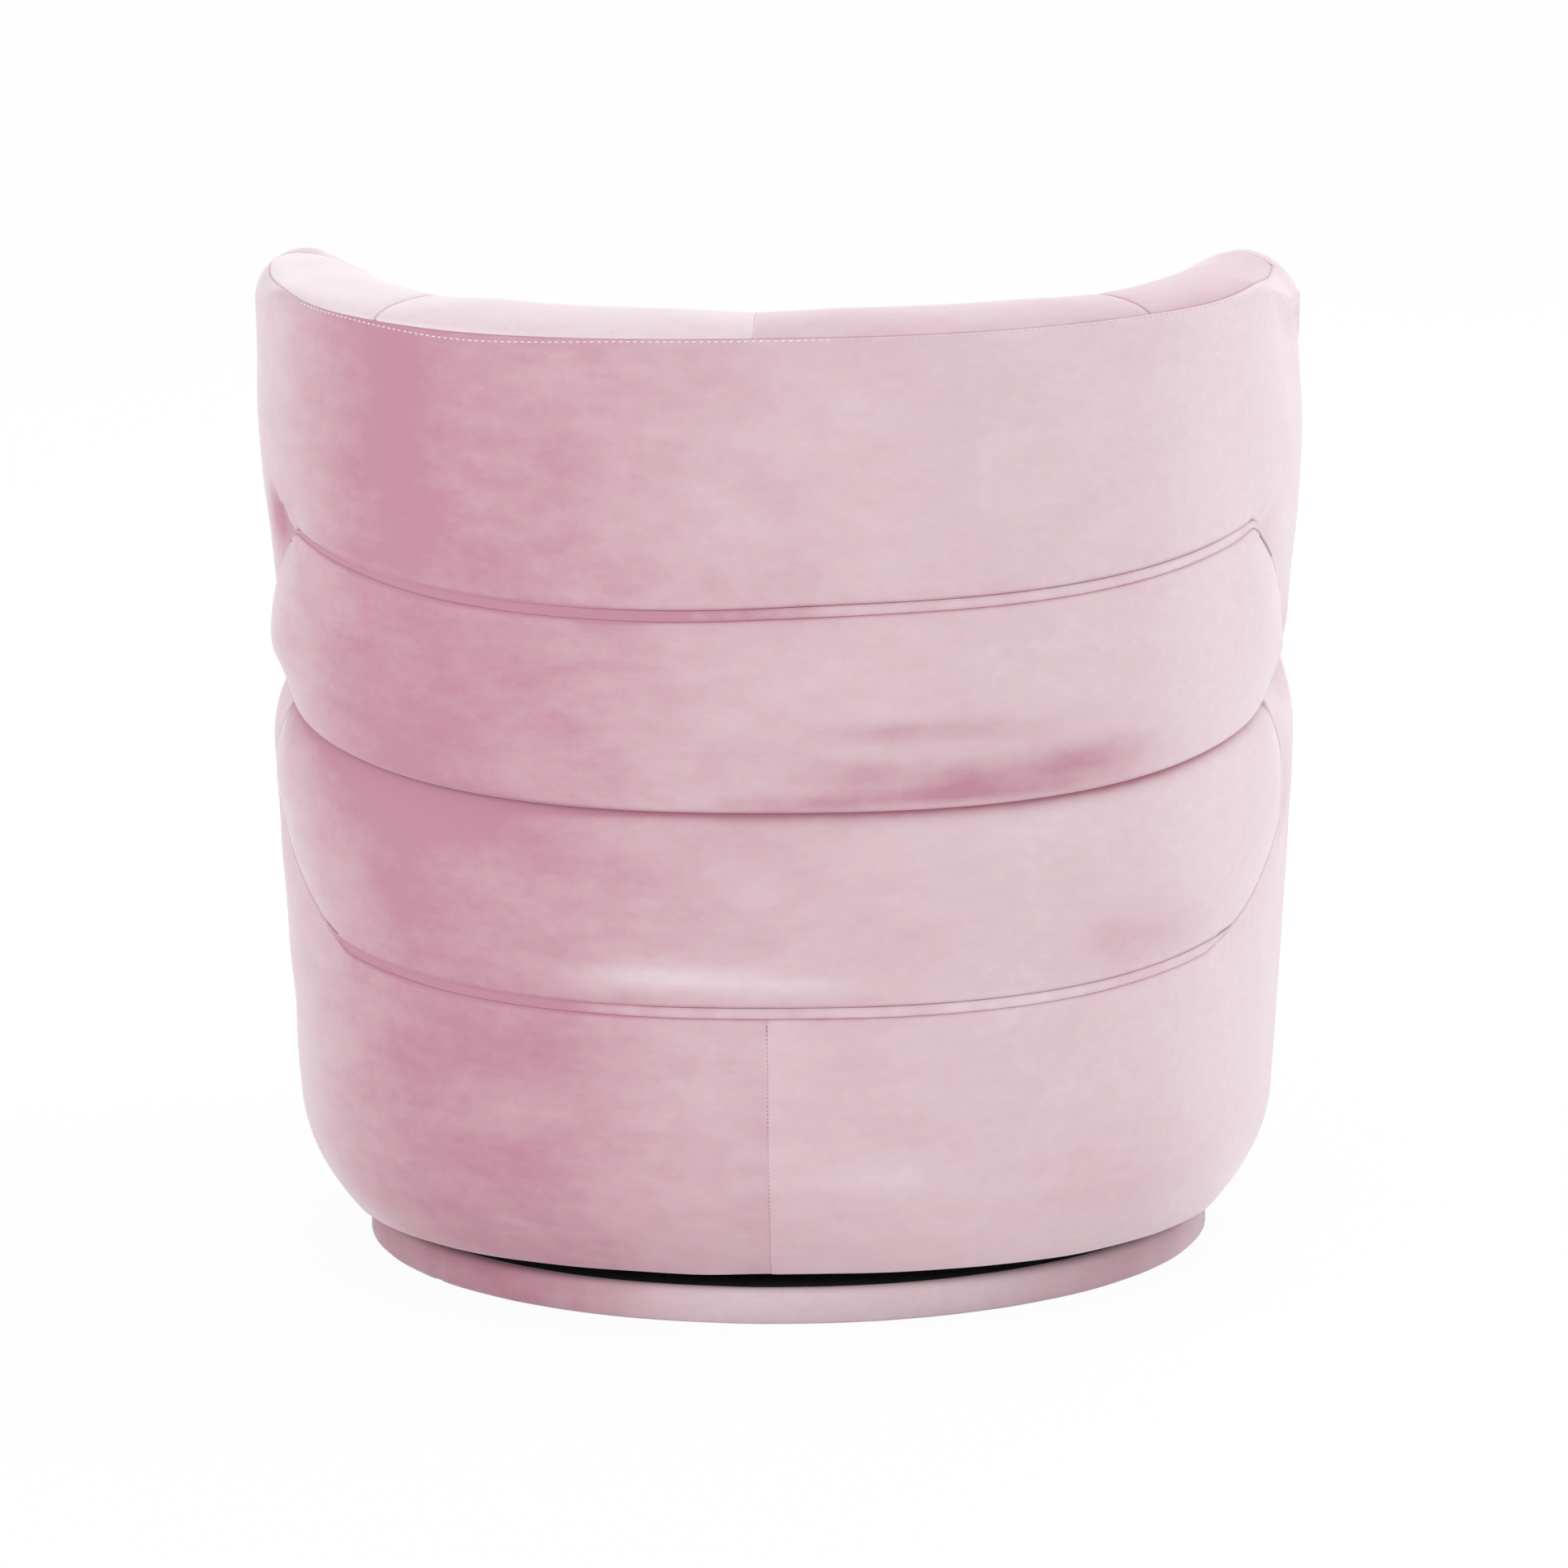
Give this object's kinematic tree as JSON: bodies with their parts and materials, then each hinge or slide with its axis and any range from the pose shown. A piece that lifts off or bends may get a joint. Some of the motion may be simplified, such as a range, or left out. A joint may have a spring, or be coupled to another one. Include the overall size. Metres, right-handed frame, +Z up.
{
  "type": "swivel glider chair",
  "caption": "Velvet barrel chair on a round swivel plinth: the body glides fore and aft on links and turns all the way round.",
  "frame": {"origin": "on the floor under the swivel axis, at the middle of the plinth", "axes": "+Z up along the swivel axis, +Y towards the back, +X towards the sitter's left"},
  "size_m": [0.798, 0.8021, 0.77],
  "materials": {
    "velvet": "rose velvet with a short pile",
    "plywood": "raw birch plywood",
    "timber": "raw sawn timber",
    "fibreboard": "raw fibreboard",
    "glide_plastic": "black moulded plastic",
    "black_cloth": "black non-woven dust cloth",
    "black_steel": "black powder coat",
    "zinc_steel": "bright zinc plate",
    "spring_steel": "drawn spring wire",
    "nylon": "natural nylon"
  },
  "bodies": {
    "base": {"plinth_cover": "velvet", "base_board": "plywood", "floor_glides": "glide_plastic", "swivel_lower_plate": "black_steel", "swivel_bolts": "zinc_steel", "king_pin": "zinc_steel", "bearing_balls": "zinc_steel", "bearing_cage": "nylon"},
    "turntable": {"swivel_upper_plate": "black_steel", "glider_bracket_left": "black_steel", "glider_bracket_right": "black_steel", "bracket_bolts": "zinc_steel", "cross_tubes": "black_steel", "upper_pivot_pins": "zinc_steel"},
    "rear_links": {"rear_link_left": "black_steel", "rear_link_right": "black_steel", "rear_link_bushes": "nylon"},
    "front_links": {"front_link_left": "black_steel", "front_link_right": "black_steel", "front_link_bushes": "nylon"},
    "seat": {"glider_rail_left": "black_steel", "glider_rail_right": "black_steel", "lower_pivot_pins": "zinc_steel", "rail_bolts": "zinc_steel", "cross_beams": "timber", "bottom_ring": "plywood", "dust_cover": "black_cloth", "frame_ribs": "plywood", "seat_hoop": "plywood", "top_rail": "plywood", "arm_rail_left": "plywood", "arm_rail_right": "plywood", "seat_front_rail": "timber", "seat_back_rail": "timber", "seat_side_rails": "timber", "corner_blocks": "timber", "sinuous_springs": "spring_steel", "spring_clips": "nylon", "deck_cloth": "velvet", "back_board": "fibreboard", "collar": "velvet", "upper_strip": "velvet", "upper_band": "velvet", "lower_band": "velvet", "lower_strip": "velvet", "skirt_left": "velvet", "skirt_right": "velvet", "front_panel": "velvet", "inner_back_left": "velvet", "inner_back_right": "velvet", "inner_wing_left": "velvet", "inner_wing_right": "velvet", "inner_arm_left": "velvet", "inner_arm_right": "velvet", "arm_nose_left": "velvet", "arm_nose_right": "velvet", "seat_cushion": "velvet"}
  },
  "joints": [
    {"name": "swivel", "type": "hinge", "parent": "base", "child": "turntable", "pos_m": [0, 0, 0.033], "axis": [0, 0, 1], "continuous": true},
    {"name": "glide", "type": "hinge", "parent": "turntable", "child": "rear_links", "pos_m": [0, 0.095, 0.2], "axis": [1, 0, 0], "range_deg": [-24, 24]},
    {"name": "seat_level", "type": "hinge", "parent": "rear_links", "child": "seat", "pos_m": [0, 0.095, 0.08], "axis": [1, 0, 0], "range_deg": [-24, 24]},
    {"name": "front_links_swing", "type": "hinge", "parent": "turntable", "child": "front_links", "pos_m": [0, -0.095, 0.2], "axis": [1, 0, 0], "range_deg": [-24, 24]}
  ],
  "couplings": [
    {"joint": "seat_level", "follows": "glide", "ratio": -1},
    {"joint": "front_links_swing", "follows": "glide", "ratio": 1}
  ]
}
